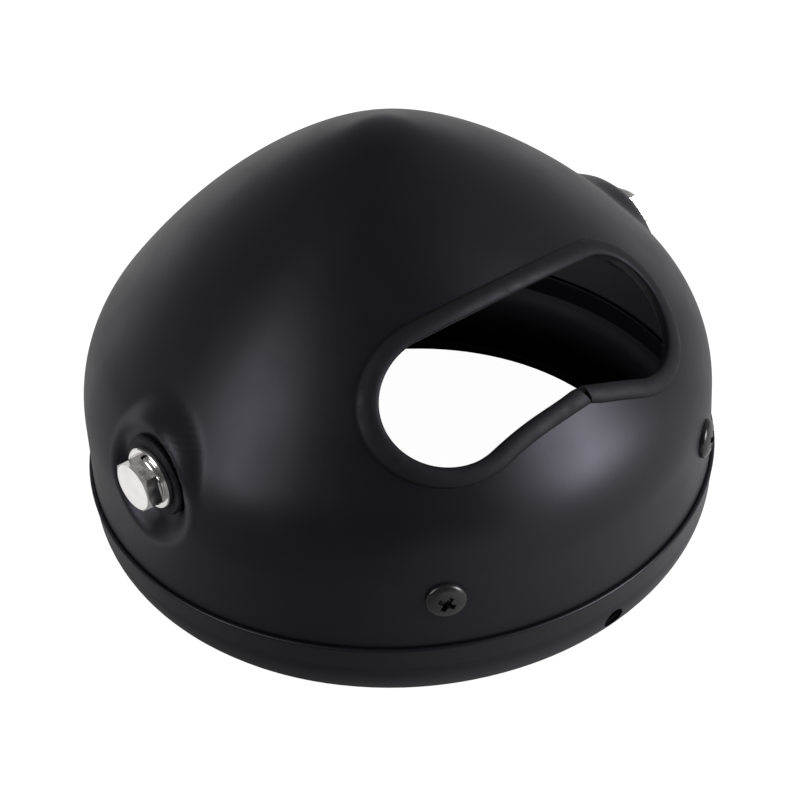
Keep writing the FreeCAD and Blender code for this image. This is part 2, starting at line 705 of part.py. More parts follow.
def screw_nut(name, sign):
    """A nut inside the wall, whose outer corners touch the sheet."""
    flats = size("screw_nut_flats")
    height = size("screw_nut_height")
    inner_wall = wall_radius - size("sheet")
    seat = root(inner_wall * inner_wall - flats * flats / 3.0)
    prism = laid_in_wall(chamfered_hexagon(name, flats, height), seat, screw_level, inward=True)
    core = cylinder(f"{name}_core", size("screw_radius") + size("thread_fit"), height + OVERCUT * 2)
    bored = cut(name, prism, laid_in_wall(core, seat + OVERCUT, screw_level, inward=True))
    return swung(bored, sign)


def fasteners():
    """The bolts, washers, screws and nuts of both sides, by name."""
    made = {}
    for side, sign in SIDES:
        bolt = mount_bolt(f"mount_bolt_{side}", size(f"bolt_turn_{side}"))
        split = lock_washer(f"lock_washer_{side}")
        plain = washer(f"flat_washer_{side}", size("washer_radius"), bolt_hole_radius,
                       size("washer_thick"), size("washer_edge"))
        soft = washer(f"rubber_washer_{side}", size("rubber_radius"), bolt_hole_radius,
                      size("rubber_thick"), size("rubber_edge"))
        made[f"mount_bolt_{side}"] = on_bolt_axis(bolt, sign, head_face)
        made[f"lock_washer_{side}"] = on_bolt_axis(split, sign, lock_face)
        made[f"flat_washer_{side}"] = on_bolt_axis(plain, sign, washer_face)
        made[f"rubber_washer_{side}"] = on_bolt_axis(soft, sign, boss_face)
        made[f"weld_nut_{side}"] = weld_nut(f"weld_nut_{side}", sign)
        made[f"cross_screw_{side}"] = cross_screw(f"cross_screw_{side}", sign)
        made[f"screw_nut_{side}"] = screw_nut(f"screw_nut_{side}", sign)
    return made


pieces = {"bucket_shell": bucket_shell(), "trim_ring": trim_ring(), "edge_trim": edge_trim()}
pieces.update(fasteners())


def is_broken(item):
    if "Invalid" in item.State or "Error" in item.State:
        return True
    return hasattr(item, "Shape") and not item.Shape.isNull() and not item.Shape.isValid()


def export_pieces():
    """Checks every object and writes each piece to its own file."""
    doc.recompute()
    broken = [item.Name for item in doc.Objects if is_broken(item)]
    broken += [label for label, item in pieces.items() if item.Shape.isNull()]
    if broken:
        raise RuntimeError(f"objects that failed: {broken}")
    os.makedirs("parts", exist_ok=True)
    for label, item in pieces.items():
        item.Label = label
        item.Shape.exportStep(f"parts/{label}.step")
        count = len(item.Shape.Solids)
        print(label, "solids", count, "volume", round(item.Shape.Volume, 1))


export_pieces()
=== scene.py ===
import functools
import json
import math

import bpy
from mathutils import Matrix, Vector


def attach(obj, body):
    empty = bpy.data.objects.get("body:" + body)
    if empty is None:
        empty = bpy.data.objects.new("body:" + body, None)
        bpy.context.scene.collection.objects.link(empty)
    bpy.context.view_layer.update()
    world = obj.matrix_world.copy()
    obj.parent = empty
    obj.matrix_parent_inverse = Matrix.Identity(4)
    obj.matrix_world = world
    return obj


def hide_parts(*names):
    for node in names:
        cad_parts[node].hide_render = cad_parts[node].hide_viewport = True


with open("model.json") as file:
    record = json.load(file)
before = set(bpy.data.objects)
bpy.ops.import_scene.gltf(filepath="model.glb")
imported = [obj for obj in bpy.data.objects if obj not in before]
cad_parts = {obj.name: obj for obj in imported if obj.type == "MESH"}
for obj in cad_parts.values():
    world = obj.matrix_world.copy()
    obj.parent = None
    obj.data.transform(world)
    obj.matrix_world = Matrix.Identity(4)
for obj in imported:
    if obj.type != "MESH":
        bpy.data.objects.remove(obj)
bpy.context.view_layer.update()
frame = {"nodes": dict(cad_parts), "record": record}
nodes = frame["nodes"]

MILLIMETRE = 0.001
SIDES = (("left", -1), ("right", 1))
WHITE = (1, 1, 1, 1)
ORIGIN = (0.0, 0.0, 0.0)

# Camera: the photo's view, fitted to the mouth, the dome's outline and both bolts (degrees and metres)
CAMERA_AZIMUTH = -38.277
CAMERA_HEIGHT_ANGLE = 38.556
CAMERA_ROLL = -3.533
CAMERA_DISTANCE = 0.770187
CAMERA_ACROSS = -0.001301
CAMERA_UP = 0.026759
CAMERA_CLIP = 0.01
# its lens and sensor, in millimetres
CAMERA_LENS = 126.9
CAMERA_SENSOR = 36.0

# Finishes: the dark and the light colour of each mottled surface
OUTER_PAINT = ((0.0042, 0.0040, 0.0060), (0.0060, 0.0057, 0.0082))
# the inner paint is painted light: lighter than the outer paint, for the light inside the shell
INNER_PAINTED_LIGHT = ((0.034, 0.033, 0.040), (0.050, 0.049, 0.056))
RUBBER = ((0.0042, 0.0041, 0.0050), (0.0085, 0.0083, 0.0095))
PLATING = ((0.84, 0.825, 0.815), (0.95, 0.94, 0.935))
PLATING_STAIN = (0.36, 0.33, 0.30)
SCREW_STEEL = ((0.008, 0.008, 0.009), (0.018, 0.018, 0.019))
NUT_STEEL = ((0.30, 0.29, 0.27), (0.46, 0.45, 0.43))
# the roughness at the two ends of a noise's usual range
PAINT_ROUGHNESS = (0.36, 0.43)
RUBBER_ROUGHNESS = (0.52, 0.66)
PLATING_ROUGHNESS = (0.10, 0.24)
SCREW_ROUGHNESS = (0.20, 0.30)
NUT_ROUGHNESS = (0.34, 0.50)
NOISE_RANGE = (0.3, 0.7)
# specular levels, and the tint of what the paint and the rubber reflect
PAINT_GLOSS = 0.41
RUBBER_GLOSS = 0.34
SCREW_GLOSS = 0.7
BLACK_TINT = (0.87, 0.84, 1.0, 1.0)
# the depth of every grain, in metres
GRAIN_DEPTH = 0.0002
# inside, above the lip, the paint is painted lighter as painted light for the light inside the shell; round
# the skirt's middle a band keeps the dark colour as painted shade, and is dull (in metres)
INNER_FACE_FROM = (-0.002, -0.006)
PAINTED_LIGHT_FROM = (0.0025, 0.007)
# half width of a band of painted shade round the skirt's middle, where the inner paint also turns dull
SKIRT_SHADE_AND_DULL_HALF = (0.0028, 0.0038)
SKIRT_ROUGHNESS = 0.9
# metres from the mid-plane over which the bolt heads' stains begin and give way to their clean faces
STAIN_FROM = (0.0813, 0.0818)
CLEAN_FACE_FROM = (0.0840, 0.0848)
# the part of a noise's range over which stains fade out
STAIN_EDGE = (0.38, 0.56)

# Floor: its reach in metres, its own colour, and its glow to the camera, reflections and bounced light
FLOOR_REACH = 6.0
FLOOR_TONE = 0.25
FLOOR_ROUGHNESS = 0.9
FLOOR_SEEN = 0.98
FLOOR_NEAR = 0.08
FLOOR_FAR = 0.5
FLOOR_BACK = 0.9
FLOOR_UNDER = 0.55
FLOOR_INSIDE = 0.9
# the glow in reflections grows to the back and to the front right, between two distances in metres
FLOOR_GROWTH = (((0.30, 0.95, 0.0), -0.07, 0.16), ((0.786, -0.617, 0.0), -0.03, 0.09))
FLOOR_BACK_WAY = (0.0, 1.0, 0.0)
FLOOR_BACK_AT = (0.35, 0.80)
# it stops under the mouth's lip, and a bright patch lies beside the left bolt
FLOOR_SHADE_INNER = (0.050, 0.058)
FLOOR_SHADE_OUTER = (0.072, 0.084)
CARD_CENTRE = (-0.130, 0.055, 0.0)
CARD_RADII = (0.018, 0.042)
CARD_GLOW = 0.80

# Room and soft boxes, in metres: the room's glow grows from behind the camera towards the far right
ROOM_WAY = (0.8, 0.6, 0.0)
ROOM_GROWTH = (-0.5, 1.0)
ROOM_NEAR = 0.08
ROOM_FAR = 0.37
BOX_DISTANCE = 0.9
BOX_TARGET = (0.0, 0.0, 0.06)

# Shell sizes, in millimetres
SHEET = 1.2
SKIRT_RADIUS = 81.8
SKIRT_BOTTOM = 16.1
SKIRT_MIDDLE = 19.1
STEP_LEVEL = 21.4
STEP_ROUND = 0.5
WALL_RADIUS = 82.6
SHOULDER_LEVEL = 41.5
SHOULDER_RADIUS = 37.0
FLANK_RADIUS = 187.6
TIP_RADIUS = 20.0
NOSE_LEVEL = 120.9
# rows of points up each part of its section, and columns round it
SKIRT_ROWS = 4
STEP_ROWS = 5
WALL_ROWS = 16
SHOULDER_ROWS = 26
FLANK_ROWS = 60
TIP_ROWS = 8
BOSS_COLUMNS = 80
PLAIN_COLUMNS = 88

# Bosses: sizes in millimetres, slopes as rise over run, and the closer columns' half angle in degrees
BOLT_LEVEL = 53.9
BOLT_HOLE_RADIUS = 4.3
BOSS_FACE = 77.0
BOSS_SEAT_RADIUS = 11.2
BOSS_FLAT_RADIUS = 12.8
BOSS_FOOT_RADIUS = 18.6
BOSS_LEAN_REAR = 0.14
BOSS_DIP_FRONT = 0.05
BOSS_LEAN_FRONT = 0.16
BOSS_LEAN_LOW = 0.25
BOSS_SPAN = 26.0

# Cable opening: sizes in millimetres, angles in degrees
OPENING_DROP = 16.8
OPENING_TILT = 45.0
OPENING_TURN = 2.6
OPENING_END = 17.85
OPENING_SPREAD = 27.0
OPENING_BUMP = 3.8
# its lower edge runs up straight to a corner at the trim's joint, and sags beyond it
CORNER_FROM = -8.0
SAG_END = 24.0
SAG = 1.2
# points along its lower edge on both sides of the joint, round each end and along its top
JOINT_TO_END_STEPS = 40
END_TO_JOINT_STEPS = 50
END_STEPS = 70
TOP_STEPS = 50

# Trim on the opening's edge, in millimetres; its joint's lean is a slope
TRIM_WEB = 1.8
TRIM_FLANGE = 3.0
TRIM_SKIN = 1.5
TRIM_EDGE = 0.35
TRIM_FIT = 0.05
TRIM_JOINT_SIDE = 4.2
TRIM_JOINT_GAP = 0.4
TRIM_JOINT_SPREAD = 1.6
TRIM_JOINT_LEAN = 0.55
TRIM_JOINT_ROWS = 10
TRIM_CROWN_STEPS = 18
SKIN_SEARCH_REACH = 120.0
SKIN_SEARCH_STEPS = 30

# Cross-head screws: sizes in millimetres, angles in degrees
SCREW_ANGLE = 32.4
SCREW_LEVEL = 37.3
SCREW_HOLE_RADIUS = 2.7
SCREW_RADIUS = 2.5
SCREW_LENGTH = 11.0
SCREW_HEAD_RADIUS = 5.15
SCREW_HEAD_EDGE = 0.5
SCREW_HEAD_HEIGHT = 2.2
SCREW_HEAD_ROWS = 20
SCREW_COLUMNS = 72
RECESS_REACH = 2.3
RECESS_HALF_SLOT = 0.73
RECESS_DEPTH = 1.7
RECESS_TURN = 58.0

# Cutters: where the holes' cutters start, from the dome's axis, and how far they run, in millimetres
OPENING_CUT_LENGTH = 170.0
BOLT_CUT_FROM = 60.0
BOLT_CUT_LENGTH = 30.0
SCREW_CUT_FROM = 70.0
SCREW_CUT_LENGTH = 25.0
HOLE_STEPS = 40

# Edges that bend by more degrees than these stay crisp
SHELL_CREASE = 35
TRIM_CREASE = 50
SCREW_CREASE = 40


def way_from(azimuth, height_angle):
    """The way from the object to a place; azimuth runs from -Y towards +X, both angles are in degrees."""
    azimuth, height_angle = math.radians(azimuth), math.radians(height_angle)
    return Vector((math.sin(azimuth) * math.cos(height_angle),
                   -math.cos(azimuth) * math.cos(height_angle),
                   math.sin(height_angle)))


def placed(name, data):
    """A new object in the scene."""
    item = bpy.data.objects.new(name, data)
    bpy.context.scene.collection.objects.link(item)
    return item


def add_camera():
    """The camera at the photo's view."""
    azimuth, roll = math.radians(CAMERA_AZIMUTH), math.radians(CAMERA_ROLL)
    back = way_from(CAMERA_AZIMUTH, CAMERA_HEIGHT_ANGLE)
    level = Vector((math.cos(azimuth), math.sin(azimuth), 0))
    upright = back.cross(level)
    right = math.cos(roll) * level + math.sin(roll) * upright
    up = math.cos(roll) * upright - math.sin(roll) * level
    camera = bpy.data.cameras.new("camera")
    camera.lens = CAMERA_LENS
    camera.sensor_width = CAMERA_SENSOR
    camera.clip_start = CAMERA_CLIP
    holder = placed("camera", camera)
    turn = Matrix((right, up, back)).transposed().to_4x4()
    place = back * CAMERA_DISTANCE + right * CAMERA_ACROSS + up * CAMERA_UP
    holder.matrix_world = Matrix.Translation(place) @ turn
    bpy.context.scene.camera = holder


class Nodes:
    """A material's node tree, with short ways to add and join nodes."""

    def __init__(self, name):
        self.material = bpy.data.materials.new(name)
        self.material.use_nodes = True
        self.tree = self.material.node_tree
        self.shader = self.tree.nodes["Principled BSDF"]

    def fix(self, name, value):
        """Sets a value that is the same all over the surface on the shader's own socket."""
        self.shader.inputs[name].default_value = value

    def add(self, kind, **inputs):
        node = self.tree.nodes.new(kind)
        for name, value in inputs.items():
            node.inputs[name].default_value = value
        return node

    def join(self, source, target):
        self.tree.links.new(source, target)

    def coordinates(self):
        return self.add("ShaderNodeTexCoord").outputs["Object"]

    def noise(self, scale, detail=3.0, roughness=0.5):
        node = self.add("ShaderNodeTexNoise", Scale=scale, Detail=detail, Roughness=roughness)
        self.join(self.coordinates(), node.inputs["Vector"])
        return node.outputs["Fac"]

    def spread(self, source, low, high, start=0.0, end=1.0):
        """Maps the range from start to end onto the range from low to high, and keeps to its ends."""
        node = self.add("ShaderNodeMapRange")
        node.inputs["From Min"].default_value = start
        node.inputs["From Max"].default_value = end
        node.inputs["To Min"].default_value = low
        node.inputs["To Max"].default_value = high
        self.join(source, node.inputs["Value"])
        return node.outputs["Result"]

    def mix(self, factor, first, second):
        """Mixes two colours, each given as numbers or as another node's output."""
        node = self.add("ShaderNodeMix")
        node.data_type = "RGBA"
        # the node's sockets for numbers and vectors lie between the factor and its two colours
        factor_socket, first_socket, second_socket = (node.inputs[number] for number in (0, 6, 7))
        for socket, colour in ((first_socket, first), (second_socket, second)):
            if isinstance(colour, tuple):
                socket.default_value = (*colour, 1)
            else:
                self.join(colour, socket)
        self.join(factor, factor_socket)
        return node.outputs[2]

    def sum(self, operation, *values):
        """A sum of the named kind over numbers or other nodes' outputs."""
        node = self.add("ShaderNodeMath")
        node.operation = operation
        for socket, value in zip(node.inputs, values):
            if isinstance(value, float):
                socket.default_value = value
            else:
                self.join(value, socket)
        return node.outputs[0]

    def vector_sum(self, operation, first, second):
        """A single number from two vectors; the second is given as numbers or as another node's output."""
        node = self.add("ShaderNodeVectorMath")
        node.operation = operation
        self.join(first, node.inputs[0])
        if isinstance(second, tuple):
            node.inputs[1].default_value = second
        else:
            self.join(second, node.inputs[1])
        return node.outputs["Value"]

    def part_of(self, axis):
        """One of the object coordinates, by its letter."""
        split = self.add("ShaderNodeSeparateXYZ")
        self.join(self.coordinates(), split.inputs[0])
        return split.outputs[axis]

    def inside(self):
        """1 on faces that look towards the object's middle, 0 on outer faces."""
        normal = self.add("ShaderNodeNewGeometry").outputs["Normal"]
        outwards = self.vector_sum("DOT_PRODUCT", normal, self.coordinates())
        return self.spread(outwards, 0.0, 1.0, *INNER_FACE_FROM)

    def mottled(self, colours, **noise):
        """A colour that wanders between two by a noise."""
        return self.mix(self.noise(**noise), *colours)

    def uneven(self, roughness, **noise):
        """A roughness that wanders over a range by a noise."""
        return self.spread(self.noise(**noise), *roughness, *NOISE_RANGE)

    def grain(self, strength, **noise):
        """A fine relief that bends the surface's normals."""
        node = self.add("ShaderNodeBump", Strength=strength, Distance=GRAIN_DEPTH)
        self.join(self.noise(**noise), node.inputs["Height"])
        return node.outputs["Normal"]

    def surface(self, colour, roughness, normal, metallic=0.0):
        self.join(colour, self.shader.inputs["Base Color"])
        self.join(roughness, self.shader.inputs["Roughness"])
        self.join(normal, self.shader.inputs["Normal"])
        self.fix("Metallic", metallic)
        return self.material


def powder_coat():
    """Satin black paint with faint mottling and a fine orange-peel; the inner faces are painted lighter as
    painted light, with a band of painted shade round the skirt's middle.
    """
    kit = Nodes("powder_coat")
    height = kit.part_of("Z")
    skirt = kit.sum("ABSOLUTE", kit.sum("SUBTRACT", height, SKIRT_MIDDLE * MILLIMETRE))
    # painted light: the inner faces above the lip take the lighter inner colour
    inner_painted_light = kit.sum("MULTIPLY", kit.inside(), kit.spread(height, 0.0, 1.0, *PAINTED_LIGHT_FROM))
    # painted shade: round the skirt's middle the inner faces keep the dark outer colour
    inner_painted_light = kit.sum("MULTIPLY", inner_painted_light, kit.spread(skirt, 0.0, 1.0, *SKIRT_SHADE_AND_DULL_HALF))
    outer = kit.mottled(OUTER_PAINT, scale=18)
    # the lighter inner colour is painted light
    inner = kit.mottled(INNER_PAINTED_LIGHT, scale=40, detail=4)
    colour = kit.mix(inner_painted_light, outer, inner)
    dull = kit.spread(skirt, SKIRT_ROUGHNESS, 0.0, *SKIRT_SHADE_AND_DULL_HALF)
    dull = kit.sum("MULTIPLY", kit.inside(), dull)
    roughness = kit.sum("MAXIMUM", kit.uneven(PAINT_ROUGHNESS, scale=60, detail=4), dull)
    kit.fix("Specular IOR Level", PAINT_GLOSS)
    kit.fix("Specular Tint", BLACK_TINT)
    return kit.surface(colour, roughness, kit.grain(strength=0.06, scale=900, detail=2))


def black_rubber():
    """Matte black rubber with a dusty grain."""
    kit = Nodes("black_rubber")
    kit.fix("Specular IOR Level", RUBBER_GLOSS)
    kit.fix("Specular Tint", BLACK_TINT)
    colour = kit.mottled(RUBBER, scale=140)
    roughness = kit.uneven(RUBBER_ROUGHNESS, scale=300)
    return kit.surface(colour, roughness, kit.grain(strength=0.15, scale=1400))


def bright_plating():
    """Polished plating, clean on the bolt heads' faces and stained on their sides."""
    kit = Nodes("bright_plating")
    stain = kit.spread(kit.noise(scale=330, detail=4, roughness=0.6), 1.0, 0.0, *STAIN_EDGE)
    station = kit.sum("ABSOLUTE", kit.part_of("X"))
    stain = kit.sum("MULTIPLY", stain, kit.spread(station, 0.0, 1.0, *STAIN_FROM))
    stain = kit.sum("MULTIPLY", stain, kit.spread(station, 1.0, 0.0, *CLEAN_FACE_FROM))
    colour = kit.mix(stain, kit.mottled(PLATING, scale=260), PLATING_STAIN)
    roughness = kit.uneven(PLATING_ROUGHNESS, scale=420, detail=4)
    return kit.surface(colour, roughness, kit.grain(strength=0.08, scale=1500), metallic=1.0)


def black_steel():
    """Blackened screw steel."""
    kit = Nodes("black_steel")
    kit.fix("Specular IOR Level", SCREW_GLOSS)
    colour = kit.mottled(SCREW_STEEL, scale=400)
    roughness = kit.uneven(SCREW_ROUGHNESS, scale=500)
    return kit.surface(colour, roughness, kit.grain(strength=0.10, scale=1600, detail=2))


def plain_steel():
    """Plain steel nuts with a dull zinc finish."""
    kit = Nodes("plain_steel")
    colour = kit.mottled(NUT_STEEL, scale=300)
    roughness = kit.uneven(NUT_ROUGHNESS, scale=450)
    return kit.surface(colour, roughness, kit.grain(strength=0.10, scale=1300, detail=2), metallic=1.0)


def between(start, end, count):
    """Evenly spaced values from start up to, but not including, end."""
    return [start + (end - start) * step / count for step in range(count)]


def eased(value, start, end):
    """A smooth step from 0 at start to 1 at end."""
    share = min(1.0, max(0.0, (value - start) / (end - start)))
    return share * share * (3 - 2 * share)


def arc_points(*arcs):
    """Points along arcs given as centre, radius, start, end and count, without each arc's last point."""
    return [(centre[0] + radius * math.cos(angle), centre[1] + radius * math.sin(angle))
            for centre, radius, start, end, count in arcs for angle in between(start, end, count)]


def circle(radius, count):
    """Points round a circle about the origin."""
    return arc_points(((0.0, 0.0), radius, 0, 2 * math.pi, count))


def quads(first, rows, count):
    """Four-sided faces between neighbouring rings of points."""
    faces = []
    for row in range(rows - 1):
        for column in range(count):
            a = first + row * count + column
            b = first + row * count + (column + 1) % count
            faces.append((a, b, b + count, a + count))
    return faces


def ring_faces(first, rows, count):
    """Faces between rings of points, closed by the one point that follows the last ring."""
    last, tip = first + (rows - 1) * count, first + rows * count
    closing = [(last + column, last + (column + 1) % count, tip) for column in range(count)]
    return quads(first, rows, count) + closing


def prism(outline, place, length):
    """Vertices and faces of an outline run along its own +Z and moved to its place."""
    vertices = [place @ Vector((x, y, height)) for height in (0.0, length) for x, y in outline]
    count = len(outline)
    ends = [tuple(range(count))[::-1], tuple(range(count, 2 * count))]
    return vertices, ends + quads(0, 2, count)


def new_piece(name, vertices, faces):
    """A new object from points in millimetres."""
    mesh = bpy.data.meshes.new(name)
    mesh.from_pydata([[value * MILLIMETRE for value in vertex] for vertex in vertices], [], faces)
    mesh.validate()
    return placed(name, mesh)


def carve(piece, corners, sides):
    """Cuts a closed solid out of a piece."""
    cutter = new_piece("cutter", corners, sides)
    cut = piece.modifiers.new("cut", "BOOLEAN")
    cut.operation = "DIFFERENCE"
    cut.solver = "EXACT"
    cut.object = cutter
    bpy.context.view_layer.update()
    result = piece.evaluated_get(bpy.context.evaluated_depsgraph_get())
    cut_mesh = bpy.data.meshes.new_from_object(result)
    piece.modifiers.clear()
    piece.data = cut_mesh
    bpy.data.objects.remove(cutter)


def smooth(piece, angle):
    """Shades a piece smooth, and keeps edges that bend by more than an angle crisp."""
    piece.data.shade_smooth()
    piece.data.set_sharp_from_angle(angle=math.radians(angle))


@functools.lru_cache(maxsize=None)
def dome_arcs(inset):
    """Centres, radii and joining angles of the shoulder, flank and nose arcs, moved inwards by an inset."""
    shoulder, flank, tip = SHOULDER_RADIUS - inset, FLANK_RADIUS - inset, TIP_RADIUS - inset
    shoulder_centre = (WALL_RADIUS - SHOULDER_RADIUS, SHOULDER_LEVEL)
    tip_centre = (0.0, NOSE_LEVEL - TIP_RADIUS)
    reach = (shoulder_centre[0], shoulder_centre[1] - tip_centre[1])
    span = math.hypot(*reach)
    offset = flank - shoulder
    lean = (offset ** 2 + span ** 2 - (flank - tip) ** 2) / (2 * offset * span)
    shoulder_end = math.atan2(reach[1], reach[0]) + math.acos(lean)
    flank_centre = (shoulder_centre[0] - offset * math.cos(shoulder_end),
                    shoulder_centre[1] - offset * math.sin(shoulder_end))
    flank_end = math.atan2(tip_centre[1] - flank_centre[1], tip_centre[0] - flank_centre[0])
    return (shoulder_centre, shoulder), (flank_centre, flank), (tip_centre, tip), shoulder_end, flank_end


def dome_profile(inset):
    """Points (radius, height) of the shell's section from skirt to nose, moved inwards by an inset."""
    wall = WALL_RADIUS - inset
    shoulder, flank, tip, shoulder_end, flank_end = dome_arcs(inset)
    step = STEP_LEVEL + inset
    step_top = step + STEP_ROUND
    points = [(SKIRT_RADIUS - inset, height) for height in between(SKIRT_BOTTOM, step, SKIRT_ROWS)]
    points.append((SKIRT_RADIUS - inset, step))
    points += arc_points(((wall - STEP_ROUND, step_top), STEP_ROUND, -math.pi / 2, 0, STEP_ROWS))
    points += [(wall, height) for height in between(step_top, SHOULDER_LEVEL, WALL_ROWS)]
    points += arc_points((*shoulder, 0, shoulder_end, SHOULDER_ROWS),
                         (*flank, shoulder_end, flank_end, FLANK_ROWS),
                         (*tip, flank_end, math.pi / 2, TIP_ROWS))
    return points


def dome_radius(height, inset):
    """The dome's radius at a height on its wall, shoulder or flank, moved inwards by an inset."""
    (shoulder_centre, shoulder), (flank_centre, flank), _, shoulder_end, _ = dome_arcs(inset)
    if height < SHOULDER_LEVEL:
        return WALL_RADIUS - inset
    centre, radius = shoulder_centre, shoulder
    if height > shoulder_centre[1] + shoulder * math.sin(shoulder_end):
        centre, radius = flank_centre, flank
    return centre[0] + math.sqrt(max(0.0, radius ** 2 - (height - centre[1]) ** 2))


def ring_angles():
    """Angles round the dome in degrees, closer together near the two bosses."""
    half = between(-BOSS_SPAN, BOSS_SPAN, BOSS_COLUMNS)
    half += between(BOSS_SPAN, 180.0 - BOSS_SPAN, PLAIN_COLUMNS)
    return half + [angle + 180.0 for angle in half]


def pressed(x, y, z, face):
    """The x of a point of the dome once a boss is pressed softly into it; the boss's rim leans outwards."""
    rise = z - BOLT_LEVEL
    reach = math.hypot(y, rise)
    upper = eased(rise, 0.0, BOSS_FLAT_RADIUS)
    raised = BOSS_LEAN_REAR * max(0.0, -y) - BOSS_DIP_FRONT * max(0.0, y) * upper
    sunk = BOSS_LEAN_LOW * max(0.0, -rise) + BOSS_LEAN_FRONT * max(0.0, y) * (1 - upper)
    face += raised * eased(reach, BOSS_SEAT_RADIUS, BOSS_FLAT_RADIUS)
    face += sunk * eased(reach, BOSS_SEAT_RADIUS, BOSS_FOOT_RADIUS)
    share = eased(reach, BOSS_FOOT_RADIUS, BOSS_FLAT_RADIUS)
    return x + (math.copysign(face, x) - x) * share


def shell_skin(inset, vertices, faces):
    """Adds one face of the sheet, from skirt to nose; returns its first index and its number of columns."""
    first = len(vertices)
    angles = [math.radians(angle) for angle in ring_angles()]
    profile = dome_profile(inset)
    for radius, height in profile:
        for angle in angles:
            x, y = radius * math.cos(angle), radius * math.sin(angle)
            vertices.append((pressed(x, y, height, BOSS_FACE - inset), y, height))
    vertices.append((0, 0, NOSE_LEVEL - inset))
    skin = ring_faces(first, len(profile), len(angles))
    outward = inset == 0
    faces += skin if outward else [face[::-1] for face in skin]
    return first, len(angles)


def opening_plane():
    """The cable opening's plane; its own +Z runs out through the rear of the dome."""
    tilt = Matrix.Rotation(math.radians(OPENING_TILT), 4, "X")
    turn = Matrix.Rotation(math.radians(-OPENING_TURN), 4, "Z")
    return Matrix.Translation((0, 0, SHOULDER_LEVEL - OPENING_DROP)) @ tilt @ turn


def bean_outline():
    """The cable opening's outline in its own plane, from the trim's joint round its right end and top."""
    bump = OPENING_BUMP - OPENING_END
    radius = (OPENING_SPREAD ** 2 + bump ** 2 - OPENING_END ** 2) / (2 * (OPENING_END + bump))
    low_centre = (0.0, bump - radius)
    lean = math.atan2(-low_centre[1], OPENING_SPREAD)
    joint = math.acos(TRIM_JOINT_SIDE / radius)
    right, left = (OPENING_SPREAD, 0.0), (-OPENING_SPREAD, 0.0)
    points = arc_points((low_centre, radius, joint, lean, JOINT_TO_END_STEPS),
                        (right, OPENING_END, lean - math.pi, math.pi / 2, END_STEPS))
    points += [(x, OPENING_END) for x in between(OPENING_SPREAD, -OPENING_SPREAD, TOP_STEPS)]
    points += arc_points((left, OPENING_END, math.pi / 2, 2 * math.pi - lean, END_STEPS),
                         (low_centre, radius, math.pi - lean, joint, END_TO_JOINT_STEPS))
    return [(x, y + lower_edge_shift(x, y, radius)) for x, y in points]


def lower_edge_shift(x, y, radius):
    """How far the opening's lower edge, an arc of a radius, is raised to its corner or lowered beyond it."""
    if y > 0 or x < CORNER_FROM:
        return 0.0
    if x <= TRIM_JOINT_SIDE:
        return (x - CORNER_FROM) ** 2 / (2 * radius)
    corner = (TRIM_JOINT_SIDE - CORNER_FROM) ** 2 / (2 * radius)
    share = (max(0.0, SAG_END - x) / (SAG_END - TRIM_JOINT_SIDE)) ** 2
    sag = SAG if x < OPENING_SPREAD else SAG * eased(-y, 0.0, OPENING_END)
    return corner * share - sag * (1 - share)


def trim_path():
    """Points of the opening's outline and ways out of it, from one side of the trim's joint to the other."""
    outline = bean_outline()
    path = []
    for number, (x, y) in enumerate(outline):
        before, after = outline[number - 1], outline[(number + 1) % len(outline)]
        along = Vector((after[0] - before[0], after[1] - before[1])).normalized()
        path.append((x, y, along.y, -along.x))
    return path + path[:1]


def trim_section():
    """The trim's section round the sheet's edge: distance out of the opening, depth under the outer skin."""
    middle = (TRIM_FLANGE - TRIM_WEB) / 2
    half = (TRIM_FLANGE + TRIM_WEB) / 2
    crown = TRIM_SKIN - TRIM_EDGE
    top = [(middle + half * math.cos(angle), -TRIM_FIT - TRIM_EDGE - crown * math.sin(angle))
           for angle in between(0, math.pi, TRIM_CROWN_STEPS) + [math.pi]]
    low = [(reach, SHEET - depth) for reach, depth in reversed(top)]
    slot = [(TRIM_FLANGE, SHEET + TRIM_FIT), (-TRIM_FIT, SHEET + TRIM_FIT),
            (-TRIM_FIT, -TRIM_FIT), (TRIM_FLANGE, -TRIM_FIT)]
    return top + low + slot


def joint_shift(reach, rows_from_start, rows_from_end):
    """How far a point of the trim is moved sideways, so that the joint leans and opens towards the web."""
    lean = TRIM_JOINT_LEAN * (reach - (TRIM_FLANGE - TRIM_WEB) / 2)
    opened = TRIM_JOINT_SPREAD * (TRIM_FLANGE - reach) / (TRIM_FLANGE + TRIM_WEB)
    at_start = max(0.0, 1 - rows_from_start / TRIM_JOINT_ROWS)
    at_end = max(0.0, 1 - rows_from_end / TRIM_JOINT_ROWS)
    return at_start * (lean + TRIM_JOINT_GAP / 2 + opened) + at_end * (lean - TRIM_JOINT_GAP / 2)


def on_skin(plane, x, y, inset):
    """The point of the dome's skin, moved inwards by an inset, over a point of the opening's plane."""
    near, far = 0.0, SKIN_SEARCH_REACH
    for _ in range(SKIN_SEARCH_STEPS):
        middle = (near + far) / 2
        place = plane @ Vector((x, y, middle))
        if math.hypot(place.x, place.y) < dome_radius(place.z, inset):
            near = middle
        else:
            far = middle
    return plane @ Vector((x, y, near))


def soft_trim():
    """The rubber trim with a rounded section, laid along the opening's edge up to its open joint."""
    plane = opening_plane()
    section = trim_section()
    path = trim_path()
    vertices = []
    for row, (x, y, way_x, way_y) in enumerate(path):
        for reach, depth in section:
            shift = joint_shift(reach, row, len(path) - 1 - row)
            vertices.append(on_skin(plane, x + way_x * reach + shift, y + way_y * reach, depth))
    count = len(section)
    ends = [tuple(range(count)), tuple(range(len(vertices) - count, len(vertices)))[::-1]]
    sides = [(b, a, d, c) for a, b, c, d in quads(0, len(path), count)]
    trim = new_piece("soft_trim", vertices, ends + sides)
    smooth(trim, TRIM_CREASE)
    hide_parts("edge_trim")
    return trim


